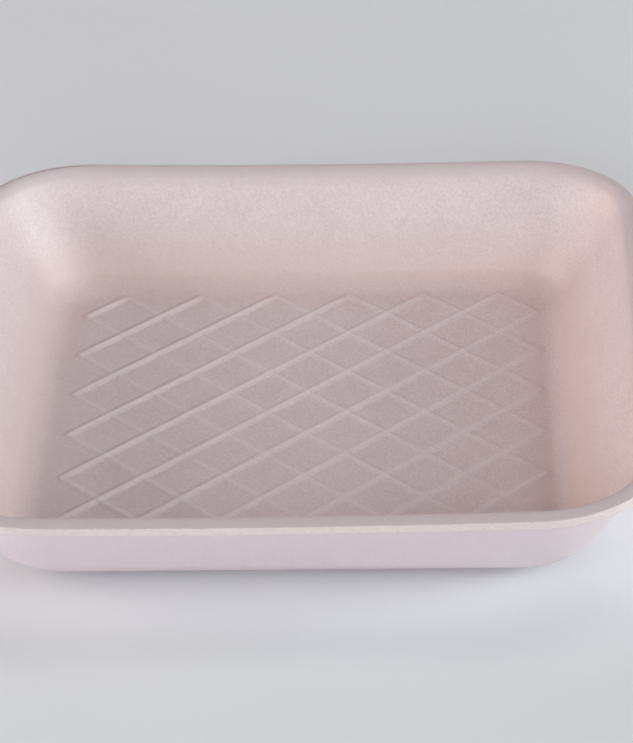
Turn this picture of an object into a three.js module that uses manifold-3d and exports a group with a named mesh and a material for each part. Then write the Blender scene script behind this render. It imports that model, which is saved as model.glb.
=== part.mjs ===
// A square foam tray, pressed from one sheet of pale pink expanded foam.
// Sloping walls with large round corners flare at the top into a short lip, which ends in a
// trimmed edge. The floor carries a net of raised ridges that cross in diamonds.
// Units are millimetres, +Z is up, and the tray stands on z = 0 with its front towards -Y.

import * as THREE from 'three';
import Module from 'manifold-3d';

// Outline, over the trimmed edge of the rim.
const LENGTH = 133;
const WIDTH = 133;
const HEIGHT = 22.4;
const SHEET = 2;

// The upper face of the section, from the rim inwards.
const LIP_FLAT = 1.1;
const LIP_BEND = 3.5;
const WALL_DRAFT = THREE.MathUtils.degToRad(33);
const FLOOR_BEND = 6.7;

// The heel is where the outside of the wall turns under the floor.
const HEEL_BEND = 13.5;

// Corner radii in plan. They grow slowly up from the floor and faster towards the rim.
const RIM_CORNER = 23.3;
const FLOOR_CORNER = 7;
const HEEL_CORNER = 11;
const CORNER_EASE = 1.4;

// The trim isn't quite centred on the pressed body, and the pressed net isn't either.
const BODY_SHIFT_X = -0.1;
const BODY_SHIFT_Y = 0.2;
const NET_SHIFT_X = 1.1;
const NET_SHIFT_Y = 2.2;

// A light tray is never quite true: its rim bows, tilts and twists by these amounts.
const RIM_BOW = 1.05;
const RIM_BOW_LEVEL = 0.4;
const RIM_TILT = 0.1;
const RIM_TWIST = -0.35;

// The net of ridges: a square grid of cells whose diagonals are the ridges. Those that rise to
// the right, seen from above, are wider and higher than those that fall across them.
const NET_CELLS = 12;
const NET_PITCH_X = 7.55;
const NET_PITCH_Y = 7.45;
const RISING = { base: 3, top: 0.7, height: 0.45 };
const FALLING = { base: 2, top: 0.5, height: 0.22 };
const RIDGE_ROOT = 0.3;

// How finely the round stretches are cut.
const BEND_STEPS = 7;
const CORNER_STEPS = 12;
const SIDE_STEPS = 8;
const SLIVER = 0.005;

const SHEET_COLOUR = 0xd6c5c6;

const wallTurn = Math.PI / 2 - WALL_DRAFT;
const { lerp } = THREE.MathUtils;

// The upper face of the sheet in section: inset from the rim's edge, and height.
function upperSection() {
  const section = [];
  for (let step = 0; step <= BEND_STEPS; step += 1) {
    const angle = (wallTurn * step) / BEND_STEPS;
    section.push({
      inset: LIP_FLAT + LIP_BEND * Math.sin(angle),
      z: HEIGHT - LIP_BEND * (1 - Math.cos(angle)),
    });
  }
  const lipEnd = section[section.length - 1];
  const footZ = SHEET + FLOOR_BEND * (1 - Math.cos(wallTurn));
  const footInset = lipEnd.inset + (lipEnd.z - footZ) * Math.tan(WALL_DRAFT);
  for (let step = 0; step <= BEND_STEPS; step += 1) {
    const angle = wallTurn * (1 - step / BEND_STEPS);
    section.push({
      inset: footInset + FLOOR_BEND * (Math.sin(wallTurn) - Math.sin(angle)),
      z: SHEET + FLOOR_BEND * (1 - Math.cos(angle)),
    });
  }
  return section;
}

// The lower face, one sheet below the upper one, with its own larger bend at the heel.
function lowerSection() {
  const section = [];
  const bend = LIP_BEND - SHEET;
  for (let step = 0; step <= BEND_STEPS; step += 1) {
    const angle = (wallTurn * step) / BEND_STEPS;
    section.push({
      inset: LIP_FLAT + bend * Math.sin(angle),
      z: HEIGHT - SHEET - bend * (1 - Math.cos(angle)),
    });
  }
  const lipEnd = section[section.length - 1];
  const heelZ = HEEL_BEND * (1 - Math.cos(wallTurn));
  const heelInset = lipEnd.inset + (lipEnd.z - heelZ) * Math.tan(WALL_DRAFT);
  for (let step = 0; step <= BEND_STEPS; step += 1) {
    const angle = wallTurn * (1 - step / BEND_STEPS);
    section.push({
      inset: heelInset + HEEL_BEND * (Math.sin(wallTurn) - Math.sin(angle)),
      z: HEEL_BEND * (1 - Math.cos(angle)),
    });
  }
  return section;
}

// Lifts a point of the level tray to where the warped rim carries it.
function warp(point) {
  const across = (2 * point.x) / LENGTH;
  const along = (2 * point.y) / WIDTH;
  const share = (point.z / HEIGHT) ** 2;
  const bow = RIM_BOW * (across ** 2 - RIM_BOW_LEVEL);
  point.z += share * (bow + RIM_TILT * across + RIM_TWIST * across * along);
  return point;
}

// One closed ring of the shell: a rounded rectangle at one height, counterclockwise from above.
function ring(inset, z, corner, shiftX, shiftY) {
  const points = [];
  const halfX = LENGTH / 2 - inset;
  const halfY = WIDTH / 2 - inset;
  const centres = [
    [halfX - corner, corner - halfY, -Math.PI / 2],
    [halfX - corner, halfY - corner, 0],
    [corner - halfX, halfY - corner, Math.PI / 2],
    [corner - halfX, corner - halfY, Math.PI],
  ];
  centres.forEach(([cx, cy, start], index) => {
    for (let step = 0; step <= CORNER_STEPS; step += 1) {
      const angle = start + (Math.PI / 2) * (step / CORNER_STEPS);
      points.push(new THREE.Vector2(cx + corner * Math.cos(angle), cy + corner * Math.sin(angle)));
    }
    const from = points[points.length - 1];
    const [nextX, nextY, nextStart] = centres[(index + 1) % centres.length];
    const to = new THREE.Vector2(
      nextX + corner * Math.cos(nextStart),
      nextY + corner * Math.sin(nextStart),
    );
    for (let step = 1; step < SIDE_STEPS; step += 1) {
      points.push(from.clone().lerp(to, step / SIDE_STEPS));
    }
  });
  return points.map((p) => warp(new THREE.Vector3(p.x + shiftX, p.y + shiftY, z)));
}

// The rings in order: from the middle of the floor up the inside, over the trimmed edge, and
// down the outside to the middle of the underside.
function shellRings() {
  const upper = upperSection();
  const lower = lowerSection();
  const floorInset = upper[upper.length - 1].inset;
  const underRim = HEIGHT - SHEET;
  const inside = upper.map(({ inset, z }) => {
    const rise = (1 - inset / floorInset) ** CORNER_EASE;
    const corner = lerp(FLOOR_CORNER, RIM_CORNER, rise);
    return ring(inset, z, corner, BODY_SHIFT_X, BODY_SHIFT_Y);
  });
  const trim = [HEIGHT, underRim].map((z) => ring(0, z, RIM_CORNER, 0, 0));
  const outside = lower.map(({ inset, z }) => {
    const corner = lerp(HEEL_CORNER, RIM_CORNER, (z / underRim) ** CORNER_EASE);
    return ring(inset, z, corner, BODY_SHIFT_X, BODY_SHIFT_Y);
  });
  return [...inside.reverse(), ...trim, ...outside];
}

// A closed skin over a stack of rings, with a flat fan at each end.
function skin(rings) {
  const count = rings[0].length;
  const positions = [];
  const triangles = [];
  rings.forEach((points) => points.forEach((p) => positions.push(p.x, p.y, p.z)));
  for (let level = 0; level + 1 < rings.length; level += 1) {
    for (let i = 0; i < count; i += 1) {
      const a = level * count + i;
      const b = level * count + ((i + 1) % count);
      triangles.push(a, a + count, b, b, a + count, b + count);
    }
  }
  const ends = [
    { level: 0, up: true },
    { level: rings.length - 1, up: false },
  ];
  ends.forEach(({ level, up }) => {
    const middle = positions.length / 3;
    positions.push(BODY_SHIFT_X, BODY_SHIFT_Y, rings[level][0].z);
    for (let i = 0; i < count; i += 1) {
      const a = level * count + i;
      const b = level * count + ((i + 1) % count);
      triangles.push(...(up ? [middle, a, b] : [middle, b, a]));
    }
  });
  return { positions, triangles };
}

// One ridge between two places on the floor: a bar with sloping sides and ends.
function ridge(from, to, { base, top, height }) {
  const along = to.clone().sub(from).normalize();
  const side = new THREE.Vector2(-along.y, along.x);
  const slope = (base - top) / 2 / height;
  const positions = [];
  [-RIDGE_ROOT, height].forEach((rise) => {
    const back = slope * rise;
    const half = base / 2 - back;
    const start = from.clone().addScaledVector(along, back);
    const end = to.clone().addScaledVector(along, -back);
    const corners = [
      [start, -half],
      [end, -half],
      [end, half],
      [start, half],
    ];
    corners.forEach(([place, reach]) => {
      const p = place.clone().addScaledVector(side, reach);
      positions.push(p.x, p.y, SHEET + rise);
    });
  });
  const triangles = [0, 2, 1, 0, 3, 2, 4, 5, 6, 4, 6, 7];
  for (let i = 0; i < 4; i += 1) {
    const next = (i + 1) % 4;
    triangles.push(i, next, i + 4, next, next + 4, i + 4);
  }
  return { positions, triangles };
}

// The place on the floor of a node of the net, counted from its front left corner.
function netNode(i, j) {
  return new THREE.Vector2(
    (i - NET_CELLS / 2) * NET_PITCH_X + NET_SHIFT_X,
    (j - NET_CELLS / 2) * NET_PITCH_Y + NET_SHIFT_Y,
  );
}

// Both families of ridges. Each starts and ends on the border of the net, where it meets one of
// the other family in a point.
function netRidges() {
  const ridges = [];
  for (let k = 1; k < 2 * NET_CELLS; k += 2) {
    const low = Math.max(0, k - NET_CELLS);
    const high = Math.min(NET_CELLS, k);
    const falling = [netNode(low, k - low), netNode(high, k - high)];
    const rising = [netNode(NET_CELLS - high, k - high), netNode(NET_CELLS - low, k - low)];
    ridges.push(ridge(...falling, FALLING), ridge(...rising, RISING));
  }
  return ridges;
}

const wasm = await Module();
wasm.setup();

function toSolid({ positions, triangles }) {
  const mesh = new wasm.Mesh({
    numProp: 3,
    vertProperties: new Float32Array(positions),
    triVerts: new Uint32Array(triangles),
  });
  return new wasm.Manifold(mesh);
}

function toGeometry(solid) {
  const mesh = solid.getMesh();
  const geometry = new THREE.BufferGeometry();
  geometry.setAttribute('position', new THREE.BufferAttribute(mesh.vertProperties, mesh.numProp));
  geometry.setIndex(new THREE.BufferAttribute(mesh.triVerts, 1));
  geometry.computeVertexNormals();
  return geometry;
}

// The joined tops of the ridges are level, so the slivers that the joining leaves are cleared.
const shell = toSolid(skin(shellRings()));
const solid = wasm.Manifold.union([shell, ...netRidges().map(toSolid)])
  .asOriginal()
  .simplify(SLIVER);
const foam = new THREE.MeshStandardMaterial({ color: SHEET_COLOUR, roughness: 0.8, metalness: 0 });
const tray = new THREE.Mesh(toGeometry(solid), foam);
tray.name = 'tray';

const foamTray = new THREE.Group();
foamTray.add(tray);

export default foamTray;
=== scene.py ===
"""The looks of a square foam tray: its pressed sheet as a fine mesh, the foam's material, a pale
floor, soft studio lights and the camera.

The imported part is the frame: +Z is up, the tray stands on z = 0, and -Y is its near side.
Shapes are worked out in millimetres, as the part's own sizes are, and turned into metres last.
"""

import math

import bpy
import numpy as np
from mathutils import Matrix, Vector, noise
from mathutils.geometry import delaunay_2d_cdt


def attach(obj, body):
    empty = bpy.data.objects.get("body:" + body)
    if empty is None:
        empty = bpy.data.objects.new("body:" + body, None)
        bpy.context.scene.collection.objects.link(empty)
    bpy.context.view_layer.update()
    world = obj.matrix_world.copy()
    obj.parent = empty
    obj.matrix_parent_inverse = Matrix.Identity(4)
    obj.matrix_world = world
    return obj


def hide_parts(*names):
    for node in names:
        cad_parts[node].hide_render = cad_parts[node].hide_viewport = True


MM = 0.001

# Sizes of the solid part, in millimetres.
LENGTH = 133
WIDTH = 133
HEIGHT = 22.4
SHEET = 2
LIP_FLAT = 1.1
LIP_BEND = 3.5
WALL_DRAFT = math.radians(33)
FLOOR_BEND = 6.7
HEEL_BEND = 13.5
RIM_CORNER = 23.3
FLOOR_CORNER = 7
HEEL_CORNER = 11
CORNER_EASE = 1.4
BODY_SHIFT = np.array([-0.1, 0.2])
RIM_BOW = 1.05
RIM_BOW_LEVEL = 0.4
RIM_TILT = 0.1
RIM_TWIST = -0.35
NET_SHIFT = np.array([1.1, 2.2])
NET_CELLS = 12
NET_PITCH = np.array([7.55, 7.45])

# The ridges of the net, a little narrower and softer than the solid's. They die away to a share
# of their height towards their ends, and are pressed less towards the right side.
RISING_BASE = 2.3
RISING_TOP = 0.4
RISING_HEIGHT = 0.41
RISING_FADE = 0.1
FALLING_BASE = 1.9
FALLING_TOP = 0.4
FALLING_HEIGHT = 0.22
FALLING_FADE = 0.45
FADE_FROM, FADE_TO = 5, 50
RIDGE_ROUND = 0.3
RIDGE_JOIN = 1.8
END_FADE = 5
END_SHARE = 0.75

# The net is pressed only where the sheet is level: up to these heights above the floor, and above
# the ground on the underside, where its grooves are a share as deep.
NET_LIMIT = 0.2
GROOVE_LIMIT = 0.05
GROOVE_DEPTH_SHARE = 0.35

# The trimmed edge: how its corners are rounded, and how far and over what length the knife
# strays inwards.
LIP_ROLL = 0.12
TRIM_ROUND = 0.15
TRIM_STRAY = 0.22
STRAY_LENGTH = 6

# Along the near side the trim is off centre, so the lip is wider, and it is pressed a little
# lower and thinner. This sets in between two distances from the middle, and above a height.
NEAR_FROM, NEAR_TO = 38, 58
NEAR_ABOVE = 12
NEAR_LIP_WIDER = 1.05
NEAR_TOP_LOWER = 0.65
NEAR_UNDERSIDE_LOWER = 0.27

# The pressed sheet isn't quite true: the walls have long swells, which start above the floor's
# bend and end below the rim, and the net is uneven by a share of its height.
SWELL = 0.07
SWELL_LENGTH = 34
SWELL_STARTS = (3, 9)
SWELL_ENDS = (3, 0.5)
NET_UNEVEN = 0.12
NET_UNEVEN_LENGTH = 24
SWELL_SEED, STRAY_SEED, NET_SEED = 3, 5, 11

# Where painted light tints the skin: the painted warm glow of light bounced about the floor's bend
# reaches into the floor, is full a little above it and fades up the wall, and the painted shade
# on the upward-facing lip is measured down from the rim.
PAINTED_GLOW_INTO_FLOOR = 8
PAINTED_GLOW_FULL = 3.4
PAINTED_GLOW_FADES = (4, 15)
LIP_SHADE_FROM, LIP_SHADE_TO = 3.5, 0.3

# How finely the sheet is cut: columns round the tray, rows down its section, and the lines of
# the net's grid, which lie beside each ridge or groove and so far apart between them. The grid
# keeps a margin to the edge of the level floor and underside.
SIDE_COLUMNS = 100
CORNER_COLUMNS = 54
LIP_ROWS = 13
FOOT_ROWS = 15
WALL_ROWS = 10
ROLL_ROWS = 4
ROUND_ROWS = 3
CUT_ROWS = 5
BESIDE_RIDGE = 0.22 * np.arange(9)
BETWEEN_RIDGES = 1.4
BESIDE_GROOVE = np.array([0, 0.4, 0.9, 1.5])
BETWEEN_GROOVES = 2.6
FLOOR_MARGIN = 0.25
UNDERSIDE_MARGIN = 0.6

WALL_TURN = math.pi / 2 - WALL_DRAFT


# --- The section of the sheet -------------------------------------------------------------


def bend_out(radius, top):
    """The lip's bend, from level to the wall's slope: rows of (inset, z)."""
    turns = np.linspace(0, WALL_TURN, LIP_ROWS + 1)
    return np.column_stack([LIP_FLAT + radius * np.sin(turns), top - radius * (1 - np.cos(turns))])


def bend_in(radius, lip_end, floor):
    """The bend from the wall's slope to the level floor: rows of (inset, z)."""
    foot_z = floor + radius * (1 - math.cos(WALL_TURN))
    foot_inset = lip_end[0] + (lip_end[1] - foot_z) * math.tan(WALL_DRAFT)
    turns = np.linspace(WALL_TURN, 0, FOOT_ROWS + 1)
    inset = foot_inset + radius * (math.sin(WALL_TURN) - np.sin(turns))
    return np.column_stack([inset, floor + radius * (1 - np.cos(turns))])


def face_section(lip_bend, top, foot_bend, floor):
    """One face of the sheet from the lip to the floor: rows of (inset, z)."""
    lip = bend_out(lip_bend, top)
    foot = bend_in(foot_bend, lip[-1], floor)
    wall = np.linspace(lip[-1], foot[0], WALL_ROWS + 1)[1:-1]
    return np.vstack([lip, wall, foot])


def trim_section():
    """From the flat of the lip over its rolled edge, down the cut and under: rows of (inset, z),
    and which of them lie on the cut."""
    inset = np.linspace(LIP_FLAT, TRIM_ROUND, ROLL_ROWS + 1)[1:]
    top = np.column_stack([inset, HEIGHT - LIP_ROLL * (1 - inset / LIP_FLAT) ** 2])
    quarter = np.linspace(0, math.pi / 2, ROUND_ROWS + 1)[1:]
    corner = TRIM_ROUND * np.column_stack([1 - np.sin(quarter), np.cos(quarter) - 1])
    over = corner + [0, top[-1, 1]]
    under = corner[::-1] * [1, -1] + [0, HEIGHT - SHEET]
    cut = np.vstack([over, np.linspace(over[-1], under[0], CUT_ROWS + 1)[1:-1], under])
    rows = np.vstack([top, cut, [TRIM_ROUND, HEIGHT - SHEET]])
    on_cut = np.zeros(len(rows))
    on_cut[len(top) : -1] = 1
    return rows, on_cut


UPPER_FACE = face_section(LIP_BEND, HEIGHT, FLOOR_BEND, SHEET)
LOWER_FACE = face_section(LIP_BEND - SHEET, HEIGHT - SHEET, HEEL_BEND, 0)
FLOOR_INSET = UPPER_FACE[-1, 0]


# --- Rings round the tray -----------------------------------------------------------------


def rounded_ring(inset, corner):
    """A rounded rectangle in plan, counterclockwise from the right end of its near side."""
    half = np.array([LENGTH, WIDTH]) / 2 - inset
    middles = (half - corner) * np.array([[1, -1], [1, 1], [-1, 1], [-1, -1]])
    points = []
    for index, middle in enumerate(middles):
        turns = math.pi / 2 * (index - 1 + np.arange(CORNER_COLUMNS + 1) / CORNER_COLUMNS)
        arc = middle + corner * np.column_stack([np.cos(turns), np.sin(turns)])
        following = middles[(index + 1) % 4]
        start = following + corner * np.array([math.cos(turns[-1]), math.sin(turns[-1])])
        share = np.arange(1, SIDE_COLUMNS)[:, None] / SIDE_COLUMNS
        points += [arc, arc[-1] + (start - arc[-1]) * share]
    return np.vstack(points)


def sheet_rings():
    """Every ring of the sheet in order, up the inside, over the trim and down the outside: their
    points, their insets, which lie on the cut, and how many make the inside."""
    upper = UPPER_FACE[::-1]
    trim, on_cut = trim_section()
    rings = []
    for inset, z in upper:
        rise = max(0, 1 - inset / FLOOR_INSET) ** CORNER_EASE
        corner = FLOOR_CORNER + (RIM_CORNER - FLOOR_CORNER) * rise
        rings.append((rounded_ring(inset, corner) + BODY_SHIFT, z))
    for inset, z in trim:
        rings.append((rounded_ring(inset, RIM_CORNER - inset), z))
    for inset, z in LOWER_FACE:
        rise = max(0, z / (HEIGHT - SHEET)) ** CORNER_EASE
        corner = HEEL_CORNER + (RIM_CORNER - HEEL_CORNER) * rise
        rings.append((rounded_ring(inset, corner) + BODY_SHIFT, z))
    points = np.array([np.column_stack([plan, np.full(len(plan), z)]) for plan, z in rings])
    insets = np.vstack([upper, trim, LOWER_FACE])[:, 0]
    cut = np.concatenate([np.zeros(len(upper)), on_cut, np.zeros(len(LOWER_FACE))])
    inside = len(upper) + int(np.argmax(on_cut))
    return points, insets, cut, inside


# --- The net of ridges --------------------------------------------------------------------

# A place in the net is a number across each family of ridges. The ridges run at odd numbers,
# and STEP_MM is the distance from one whole number to the next.
STEP_MM = 1 / math.hypot(1 / NET_PITCH[0], 1 / NET_PITCH[1])
RIDGES = np.arange(1 - NET_CELLS, NET_CELLS, 2)


def net_place(plan):
    """The places of plan points across the falling ridges and across the rising ones."""
    u, v = ((plan - NET_SHIFT) / NET_PITCH).T
    return u + v, u - v


def net_plan(across_falling, across_rising):
    """The plan points at places in the net."""
    cells = np.column_stack([across_falling + across_rising, across_falling - across_rising]) / 2
    return cells * NET_PITCH + NET_SHIFT


def soft_step(value, low, high):
    """0 up to low, 1 from high on, and smooth between."""
    share = np.clip((value - low) / (high - low), 0, 1)
    return share * share * (3 - 2 * share)


def ridge_share(across, along, base, top):
    """How far up one family of ridges each point is, from 0 on the floor to 1 on top. A ridge
    dies away towards its ends."""
    nearest = np.clip(2 * np.round((across - 1) / 2) + 1, RIDGES[0], RIDGES[-1])
    side = np.abs(across - nearest) * STEP_MM
    past_end = (np.abs(along) - (NET_CELLS - np.abs(nearest))) * STEP_MM
    reach = np.hypot(side, np.maximum(0, past_end + top / 2))
    full = END_SHARE + (1 - END_SHARE) * soft_step(-past_end, 0, END_FADE)
    return full * (1 - soft_step(reach, top / 2 - RIDGE_ROUND, base / 2 + RIDGE_ROUND))


def net_relief(plan):
    """The height of the net over plan points, and how near each is to a crest. The two families
    are softly joined, so that the higher one runs on over the crossings, and both are pressed
    less towards the right side."""
    p, q = net_place(plan)
    fade = soft_step(plan[:, 0], FADE_FROM, FADE_TO)
    falling = ridge_share(p, q, FALLING_BASE, FALLING_TOP) * (1 - FALLING_FADE * fade)
    rising = ridge_share(q, p, RISING_BASE, RISING_TOP) * (1 - RISING_FADE * fade)
    low = (FALLING_HEIGHT * falling) ** RIDGE_JOIN
    high = (RISING_HEIGHT * rising) ** RIDGE_JOIN
    return (low + high) ** (1 / RIDGE_JOIN), np.maximum(falling, rising)


def net_lines(offsets, spacing):
    """Places across the net for grid lines: beside each ridge, and between ridges."""
    beside = (RIDGES[:, None] + np.concatenate([-offsets[:0:-1], offsets]) / STEP_MM).ravel()
    reach = offsets[-1] / STEP_MM
    gap = 2 - 2 * reach
    count = max(2, round(gap * STEP_MM / spacing))
    past_ridge = reach + gap * np.arange(1, count) / count
    between = (RIDGES[:-1, None] + past_ridge).ravel()
    past_last = RIDGES[-1] + past_ridge[: count // 2]
    return np.concatenate([-past_last[::-1], np.sort([*beside, *between]), past_last])


def inside_ring(plan, inset, corner, margin):
    """Which plan points lie inside a rounded rectangle by more than the margin."""
    half = np.array([LENGTH, WIDTH]) / 2 - inset - corner
    over = np.maximum(np.abs(plan - BODY_SHIFT) - half, 0)
    return np.hypot(*over.T) < corner - margin


def level_patch(ring_plan, inset, corner, lines, margin):
    """Fills a ring with triangles over the net's grid. Returns the grid's plan points, and the
    triangles, whose numbers count the ring's own points first."""
    grid = net_plan(*(g.ravel() for g in np.meshgrid(lines, lines)))
    grid = grid[inside_ring(grid, inset, corner, margin)]
    points = np.vstack([ring_plan, grid])
    outline = list(range(len(ring_plan)))
    only_inside, smallest_gap = 1, 1e-7
    _, _, faces, origins, _, _ = delaunay_2d_cdt(
        [Vector(p) for p in points], [], [outline], only_inside, smallest_gap
    )
    return grid, [[origins[i][0] for i in face] for face in faces]


# --- The true sheet -----------------------------------------------------------------------


def true_sheet():
    """The sheet before it is made untrue: its points and faces, and for each point its inset from
    the trim, whether it lies on the cut, and whether it is on the upper face."""
    rings, insets, cut, inside = sheet_rings()
    levels, columns, _ = rings.shape
    faces = []
    around = np.arange(columns)
    for level in range(levels - 1):
        a = level * columns + around
        b = level * columns + np.roll(around, -1)
        faces += np.column_stack([a, a + columns, b + columns, b]).tolist()

    top_lines = net_lines(BESIDE_RIDGE, BETWEEN_RIDGES)
    low_lines = net_lines(BESIDE_GROOVE, BETWEEN_GROOVES)
    top_grid, top_faces = level_patch(
        rings[0, :, :2], insets[0], FLOOR_CORNER, top_lines, FLOOR_MARGIN
    )
    low_grid, low_faces = level_patch(
        rings[-1, :, :2], insets[-1], HEEL_CORNER, low_lines, UNDERSIDE_MARGIN
    )
    first_top = levels * columns
    first_low = first_top + len(top_grid)
    last_ring = first_top - columns
    for face in top_faces:
        faces.append([i if i < columns else first_top + i - columns for i in face])
    for face in low_faces:
        faces.append([last_ring + i if i < columns else first_low + i - columns for i in face][::-1])

    points = np.vstack([
        rings.reshape(-1, 3),
        np.column_stack([top_grid, np.full(len(top_grid), SHEET)]),
        np.column_stack([low_grid, np.zeros(len(low_grid))]),
    ])
    inset = np.full(len(points), LENGTH / 2)
    inset[:first_top] = np.repeat(insets, columns)
    on_cut = np.zeros(len(points))
    on_cut[:first_top] = np.repeat(cut, columns)
    upper = np.zeros(len(points), bool)
    upper[: inside * columns] = True
    upper[first_top:first_low] = True
    return points, faces, inset, on_cut, upper


# --- What makes the sheet untrue ----------------------------------------------------------


def swell(points, length, seed):
    """Smooth noise from about -1 to 1 at each point."""
    start = Vector((seed, -seed, 2 * seed))
    return np.array([noise.noise(Vector(p) / length + start) for p in points])


def outwards(plan):
    """The level directions away from the tray's middle."""
    return plan / np.linalg.norm(plan, axis=1)[:, None].clip(1)


def press_net(points, true, upper):
    """Raises the net on the floor and its grooves in the underside. Returns how near each point
    is to a crest."""
    level = true[:, 2]
    net, crest = net_relief(true[:, :2])
    net *= 1 + NET_UNEVEN * swell(true * [1, 1, 0], NET_UNEVEN_LENGTH, NET_SEED)
    on_floor = upper & (level <= SHEET + NET_LIMIT)
    on_underside = ~upper & (level <= GROOVE_LIMIT)
    points[:, 2] += net * on_floor
    points[:, 2] += GROOVE_DEPTH_SHARE * net * on_underside
    return crest * on_floor


def swell_walls(points, true):
    """Bulges and hollows the walls a little."""
    level = true[:, 2]
    ends_from, ends_to = SWELL_ENDS
    on_wall = soft_step(level, *SWELL_STARTS)
    on_wall *= 1 - soft_step(level, HEIGHT - ends_from, HEIGHT - ends_to)
    untrue = swell(true, SWELL_LENGTH, SWELL_SEED)
    points[:, :2] += outwards(true[:, :2]) * (SWELL * untrue * on_wall)[:, None]


def stray_trim(points, true, in_from_trim):
    """Lets the trimmed edge wander inwards."""
    stray = TRIM_STRAY * (0.5 + 0.5 * swell(true * [1, 1, 0], STRAY_LENGTH, STRAY_SEED))
    points[:, :2] -= outwards(true[:, :2]) * (stray * (1 - in_from_trim))[:, None]


def lower_near_side(points, true, in_from_trim, upper):
    """Widens the lip along the near side, and presses it lower and thinner."""
    level = true[:, 2]
    near = soft_step(-true[:, 1], NEAR_FROM, NEAR_TO) * soft_step(level, NEAR_ABOVE, HEIGHT - SHEET)
    top_share = np.where(upper, 1, np.clip((level - HEIGHT + SHEET) / SHEET, 0, 1))
    lower_by = NEAR_UNDERSIDE_LOWER + (NEAR_TOP_LOWER - NEAR_UNDERSIDE_LOWER) * top_share
    points[:, 1] += NEAR_LIP_WIDER * near * in_from_trim
    points[:, 2] -= lower_by * near


def warp(points):
    """Lifts points of the level tray to where the bowed and twisted rim carries them."""
    across = 2 * points[:, 0] / LENGTH
    along = 2 * points[:, 1] / WIDTH
    share = (points[:, 2] / HEIGHT) ** 2
    bow = RIM_BOW * (across**2 - RIM_BOW_LEVEL)
    points[:, 2] += share * (bow + RIM_TILT * across + RIM_TWIST * across * along)


# --- The tray's mesh ----------------------------------------------------------------------


def surface_shares(true, on_cut, upper):
    """How far each point is cut open, takes the painted glow of bounced light, takes the painted
    shade of the lip, or is on the outside, from 0 to 1.
    """
    level = true[:, 2]
    from_side = LENGTH / 2 - np.abs(true[:, :2] - BODY_SHIFT).max(axis=1)
    near_bend = 1 - soft_step(from_side, FLOOR_INSET, FLOOR_INSET + PAINTED_GLOW_INTO_FLOOR)
    in_bend = np.where(level > SHEET, 1 + soft_step(level, SHEET, PAINTED_GLOW_FULL), near_bend) / 2
    return {
        "cut": on_cut,
        # The painted warm glow of bounced light, fullest in the floor's bend.
        "painted_bounce_glow": in_bend * (1 - soft_step(level, *PAINTED_GLOW_FADES)) * upper,
        # The painted shade of the upward-facing lip, below the rim.
        "painted_lip_shade": soft_step(level, HEIGHT - LIP_SHADE_FROM, HEIGHT - LIP_SHADE_TO) * upper,
        # The outside, which takes a cooler tint painted as the cool light bounced from below.
        "outside": ~upper & (on_cut == 0),
    }


def tray_mesh():
    true, faces, inset, on_cut, upper = true_sheet()
    in_from_trim = np.clip(inset / LIP_FLAT, 0, 1)
    shares = surface_shares(true, on_cut, upper)
    points = true.copy()
    # How near each point is to a crest, which sets the painted highlight along the crests.
    shares["crest"] = press_net(points, true, upper)
    swell_walls(points, true)
    stray_trim(points, true, in_from_trim)
    lower_near_side(points, true, in_from_trim, upper)
    warp(points)

    mesh = bpy.data.meshes.new("foam_tray")
    mesh.from_pydata((points * MM).tolist(), [], faces)
    mesh.validate()
    mesh.shade_smooth()
    for name, values in shares.items():
        attribute = mesh.attributes.new(name, "FLOAT", "POINT")
        attribute.data.foreach_set("value", values.astype(np.float32))
    return mesh


# --- Materials ----------------------------------------------------------------------------


def new_material(name):
    material = bpy.data.materials.new(name)
    material.use_nodes = True
    tree = material.node_tree
    tree.nodes.clear()
    shader = tree.nodes.new("ShaderNodeBsdfPrincipled")
    output = tree.nodes.new("ShaderNodeOutputMaterial")
    tree.links.new(shader.outputs["BSDF"], output.inputs["Surface"])
    return material, tree, shader


def node(tree, kind, links=None, **values):
    """A node of that kind, with its settings and unlinked inputs set and its inputs linked."""
    made = tree.nodes.new(kind)
    for key, value in values.items():
        if key in made.inputs:
            made.inputs[key].default_value = value
        else:
            setattr(made, key, value)
    for key, source in (links or {}).items():
        tree.links.new(source, made.inputs[key])
    return made


def srgb(red, green, blue):
    """A colour given by its 0 to 255 screen values, as the linear one that shaders take."""

    def linear(value):
        share = value / 255
        return share / 12.92 if share <= 0.04045 else ((share + 0.055) / 1.055) ** 2.4

    return (linear(red), linear(green), linear(blue), 1)


def mixed(tree, factor, first, second):
    """Two colours mixed. Each is a constant or the output of a node."""
    made = node(tree, "ShaderNodeMixRGB", {"Fac": factor})
    for key, colour in (("Color1", first), ("Color2", second)):
        if isinstance(colour, tuple):
            made.inputs[key].default_value = colour
        else:
            tree.links.new(colour, made.inputs[key])
    return made.outputs["Color"]


def ranged(tree, value, low, high, start=0, end=1):
    """A value mapped from low..high to start..end, and clamped."""
    made = node(tree, "ShaderNodeMapRange", {"Value": value})
    made.inputs["From Min"].default_value, made.inputs["From Max"].default_value = low, high
    made.inputs["To Min"].default_value, made.inputs["To Max"].default_value = start, end
    return made.outputs["Result"]


def surface_share(tree, name):
    """One of the shares that the tray's mesh holds for each point."""
    return node(tree, "ShaderNodeAttribute", attribute_name=name).outputs["Fac"]


def cell_tints(tree, cells):
    """A random number for each cell."""
    return node(tree, "ShaderNodeSeparateColor", {"Color": cells.outputs["Color"]}).outputs["Red"]


SKIN_DARK = srgb(218, 198, 199)
SKIN_LIGHT = srgb(239, 221, 222)
CUT_DARK = srgb(221, 202, 200)
CUT_LIGHT = srgb(229, 212, 211)

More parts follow.
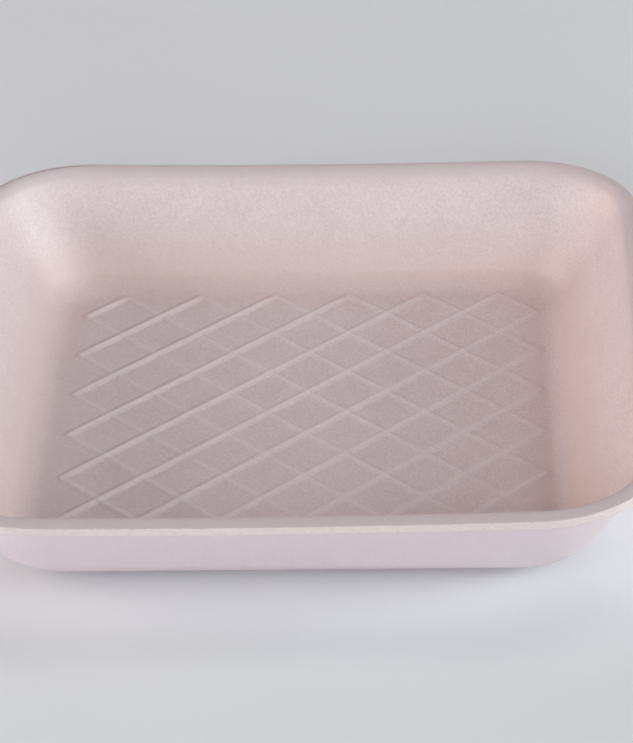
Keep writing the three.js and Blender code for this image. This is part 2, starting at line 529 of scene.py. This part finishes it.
# Painted light on the skin, as colours mixed in: each colour, the share from which it shows, and
# how much of it shows where the share is full.
PAINTED_LIGHT_TINTS = {
    # A painted warm glow, standing in for light bounced and scattered in the floor's bend.
    "painted_bounce_glow": (srgb(225, 199, 193), 0, 0.6),
    # Painted shade on the upward-facing lip, which takes less of the low light.
    "painted_lip_shade": (srgb(214, 198, 200), 0, 0.8),
    # A painted highlight along the crests of the net.
    "crest": (srgb(238, 225, 228), 0.45, 0.7),
    # A cooler tint on the outside, painted as the cool light bounced from below.
    "outside": (srgb(226, 210, 215), 0, 0.75),
}

# The foam's texture. Cells, grain and mottling are counted along a metre, and depths are in
# metres. The cells of the cut are drawn out along the edge.
CELLS = 2800
CUT_CELLS = 3200
CUT_CELL_SHAPE = (0.4, 0.4, 1)
GRAIN = 1300
MOTTLING = 140
TINT_RANGE = (0.1, 1.9)
CELL_DEPTH = 0.00004
CUT_DEPTH = 0.00006
SKIN_ROUGHNESS = 0.42
CUT_ROUGHNESS = 0.85
FOAM_IOR = 1.55


def foam_material():
    """Pale pink expanded foam. Its skin is satin, with small flattened cells. Painted light is mixed
    into its colour: a painted warm glow of bounced light in the floor's bend, painted shade on the
    upward-facing lip, and painted highlights along the crests of the net. The outside is more even,
    with a cooler tint painted as the cool light bounced from below, and the trimmed edge is torn
    open."""
    material, tree, shader = new_material("foam")
    place = node(tree, "ShaderNodeTexCoord").outputs["Object"]
    cut = surface_share(tree, "cut")

    cells = node(tree, "ShaderNodeTexVoronoi", {"Vector": place}, Scale=CELLS)
    along_edge = node(tree, "ShaderNodeVectorMath", {0: place}, operation="MULTIPLY")
    along_edge.inputs[1].default_value = CUT_CELL_SHAPE
    torn = node(tree, "ShaderNodeTexVoronoi", {"Vector": along_edge.outputs[0]}, Scale=CUT_CELLS)
    grain = node(tree, "ShaderNodeTexNoise", {"Vector": place}, Scale=GRAIN, Detail=2)
    mottling = node(tree, "ShaderNodeTexNoise", {"Vector": place}, Scale=MOTTLING, Detail=3)

    tint = node(
        tree,
        "ShaderNodeMath",
        {0: cell_tints(tree, cells), 1: mottling.outputs["Fac"]},
        operation="ADD",
    ).outputs[0]
    skin = mixed(tree, ranged(tree, tint, *TINT_RANGE), SKIN_DARK, SKIN_LIGHT)
    # Mixes in the painted glow, shade, highlight and cool bounce light.
    for name, (colour, shows_from, most) in PAINTED_LIGHT_TINTS.items():
        weight = ranged(tree, surface_share(tree, name), shows_from, 1, 0, most)
        skin = mixed(tree, weight, skin, colour)
    open_cells = mixed(tree, cell_tints(tree, torn), CUT_DARK, CUT_LIGHT)
    tree.links.new(mixed(tree, cut, skin, open_cells), shader.inputs["Base Color"])

    relief = node(
        tree,
        "ShaderNodeMath",
        {0: cells.outputs["Distance"], 1: grain.outputs["Fac"]},
        operation="SUBTRACT",
    ).outputs[0]
    skin_bump = node(
        tree,
        "ShaderNodeBump",
        {"Height": relief},
        Strength=1,
        Distance=CELL_DEPTH,
        invert=True,
    )
    cut_bump = node(
        tree,
        "ShaderNodeBump",
        {"Height": torn.outputs["Distance"], "Strength": cut, "Normal": skin_bump.outputs["Normal"]},
        Distance=CUT_DEPTH,
        invert=True,
    )
    tree.links.new(cut_bump.outputs["Normal"], shader.inputs["Normal"])
    roughness = ranged(tree, cut, 0, 1, SKIN_ROUGHNESS, CUT_ROUGHNESS)
    tree.links.new(roughness, shader.inputs["Roughness"])
    shader.inputs["IOR"].default_value = FOAM_IOR
    return material


def floor_material():
    material, _, shader = new_material("pale_floor")
    shader.inputs["Base Color"].default_value = srgb(236, 237, 240)
    shader.inputs["Roughness"].default_value = 0.85
    return material


# --- Floor, lights and camera -------------------------------------------------------------

# The studio floor and the lamps, in metres. The floor lies a hair under the tray.
FLOOR_HALF = 8
FLOOR_DROP = 0.0001
LAMP_DISTANCE = 1.6
LAMP_SIZE = 0.7

# Soft studio light from large square lamps: azimuth from the near side towards the right, and
# elevation, in degrees, and red, green and blue power in watts.
LAMPS = {
    "front": (0, 22, (8.4, 8.6, 8.4)),
    "front_left": (-60, 12, (9.1, 10.3, 11.2)),
    "left": (-90, 22, (5.9, 5.1, 4.4)),
    "low_rear_left": (-120, 12, (4.7, 3.7, 2.8)),
    "rear_left": (-150, 34, (2.0, 1.8, 2.2)),
    "front_right": (60, 34, (6.2, 6.7, 7.1)),
    "right": (90, 12, (13.7, 15.5, 15.7)),
    "rear_right": (130, 58, (3.9, 3.6, 3.5)),
    "rear": (180, 12, (1.0, 1.0, 1.0)),
}

# The camera, fitted to the net of ridges and to the rim. Distances are in millimetres, and it
# aims a little right of and above the tray's middle, as it sees it.
CAMERA_AZIMUTH = math.radians(2.6276)
CAMERA_ELEVATION = math.radians(32)
CAMERA_ROLL = math.radians(-1.9682)
CAMERA_DISTANCE = 645.8
CAMERA_LENS = 163.776
CAMERA_SENSOR = 36
AIM_RIGHT = 2.94
AIM_UP = 10.648


def add_object(name, data):
    made = bpy.data.objects.new(name, data)
    bpy.context.scene.collection.objects.link(made)
    return made


def add_floor():
    half = FLOOR_HALF
    mesh = bpy.data.meshes.new("floor")
    corners = [(-half, -half, 0), (half, -half, 0), (half, half, 0), (-half, half, 0)]
    mesh.from_pydata(corners, [], [[0, 1, 2, 3]])
    mesh.materials.append(floor_material())
    made = add_object("floor", mesh)
    made.location.z = -FLOOR_DROP


def direction(azimuth, elevation):
    """The way from the tray towards a place. Azimuth 0 is the near side, and 90 degrees the right."""
    return Vector((
        math.sin(azimuth) * math.cos(elevation),
        -math.cos(azimuth) * math.cos(elevation),
        math.sin(elevation),
    ))


def add_lamps():
    """The lamps, and a dark world round them."""
    for name, (azimuth, elevation, power) in LAMPS.items():
        away = direction(math.radians(azimuth), math.radians(elevation))
        data = bpy.data.lights.new(name, "AREA")
        data.size = LAMP_SIZE
        data.energy = max(power)
        data.color = [share / max(power) for share in power]
        made = add_object(name, data)
        made.location = away * LAMP_DISTANCE
        made.rotation_euler = away.to_track_quat("Z", "Y").to_euler()
    world = bpy.data.worlds.new("studio")
    world.use_nodes = True
    world.node_tree.nodes["Background"].inputs["Strength"].default_value = 0
    bpy.context.scene.world = world


def add_camera():
    """The camera above the near side, rolled a little and turned towards its aim."""
    roll = CAMERA_ROLL
    away = direction(CAMERA_AZIMUTH, CAMERA_ELEVATION)
    right = Vector((math.cos(CAMERA_AZIMUTH), math.sin(CAMERA_AZIMUTH), 0))
    up = right.cross(-away)
    right, up = (
        right * math.cos(roll) + up * math.sin(roll),
        up * math.cos(roll) - right * math.sin(roll),
    )
    place = away * CAMERA_DISTANCE
    forward = (right * AIM_RIGHT + up * AIM_UP - place).normalized()
    right = (right - forward * right.dot(forward)).normalized()
    up = right.cross(forward)
    data = bpy.data.cameras.new("camera")
    data.lens = CAMERA_LENS
    data.sensor_width = CAMERA_SENSOR
    data.clip_start, data.clip_end = 0.01, 50
    made = add_object("camera", data)
    turned = Matrix((right, up, -forward)).transposed().to_4x4()
    made.matrix_world = Matrix.Translation(place * MM) @ turned
    bpy.context.scene.camera = made


# --- The scene ----------------------------------------------------------------------------

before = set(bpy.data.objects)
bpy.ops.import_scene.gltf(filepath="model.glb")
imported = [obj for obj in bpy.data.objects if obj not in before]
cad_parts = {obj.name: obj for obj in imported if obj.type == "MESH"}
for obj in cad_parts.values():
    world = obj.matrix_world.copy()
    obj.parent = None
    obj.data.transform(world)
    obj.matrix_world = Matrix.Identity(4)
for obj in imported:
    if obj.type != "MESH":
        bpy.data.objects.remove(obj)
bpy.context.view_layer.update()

tray = add_object("foam_tray", tray_mesh())
tray.data.materials.append(foam_material())
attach(tray, "root")
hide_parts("tray")

add_floor()
add_lamps()
add_camera()
bpy.context.scene.view_settings.view_transform = "Standard"
